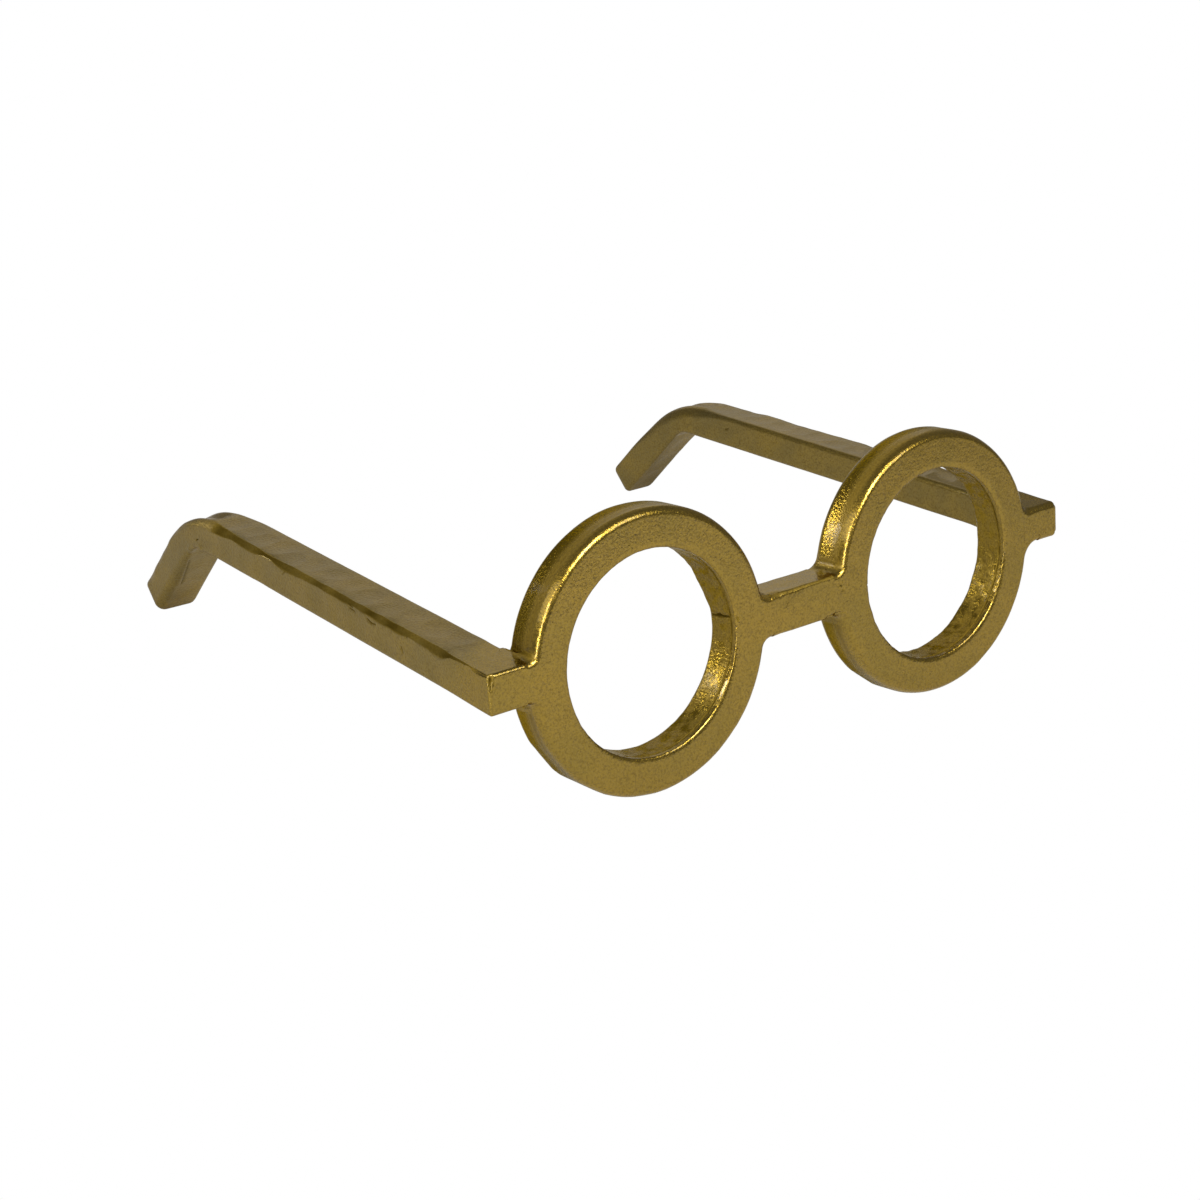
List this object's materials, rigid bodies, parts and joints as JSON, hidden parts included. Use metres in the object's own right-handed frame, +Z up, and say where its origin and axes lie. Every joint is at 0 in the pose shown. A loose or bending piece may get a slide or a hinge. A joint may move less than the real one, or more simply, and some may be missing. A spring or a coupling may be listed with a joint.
{
  "type": "eyeglasses sculpture",
  "caption": "Tabletop sculpture of round eyeglasses, welded from flat-faced rims, a bridge and bent hammered temples, in antique gold.",
  "frame": {"origin": "middle of the footprint, side to side and front to back, on the surface that the rims and temple tips stand on", "axes": "+X to the viewer's right along the bridge, +Y back along the temples, +Z up"},
  "size_m": [0.2698, 0.2645, 0.1006],
  "materials": {
    "smooth_gold": "satin antique gold over dressed metal, with a fine pebble grain",
    "hammered_gold": "satin antique gold over hammered metal",
    "weld_gold": "satin antique gold over dressed weld metal, with pits"
  },
  "bodies": {
    "root": {"left_rim": "smooth_gold", "right_rim": "smooth_gold", "bridge": "smooth_gold", "left_endpiece": "smooth_gold", "right_endpiece": "smooth_gold", "left_temple": "hammered_gold", "right_temple": "hammered_gold", "left_rim_seam_weld": "weld_gold", "right_rim_seam_weld": "weld_gold", "bridge_left_weld": "weld_gold", "bridge_right_weld": "weld_gold", "left_endpiece_weld": "weld_gold", "right_endpiece_weld": "weld_gold", "left_corner_weld": "weld_gold", "right_corner_weld": "weld_gold"}
  },
  "joints": []
}
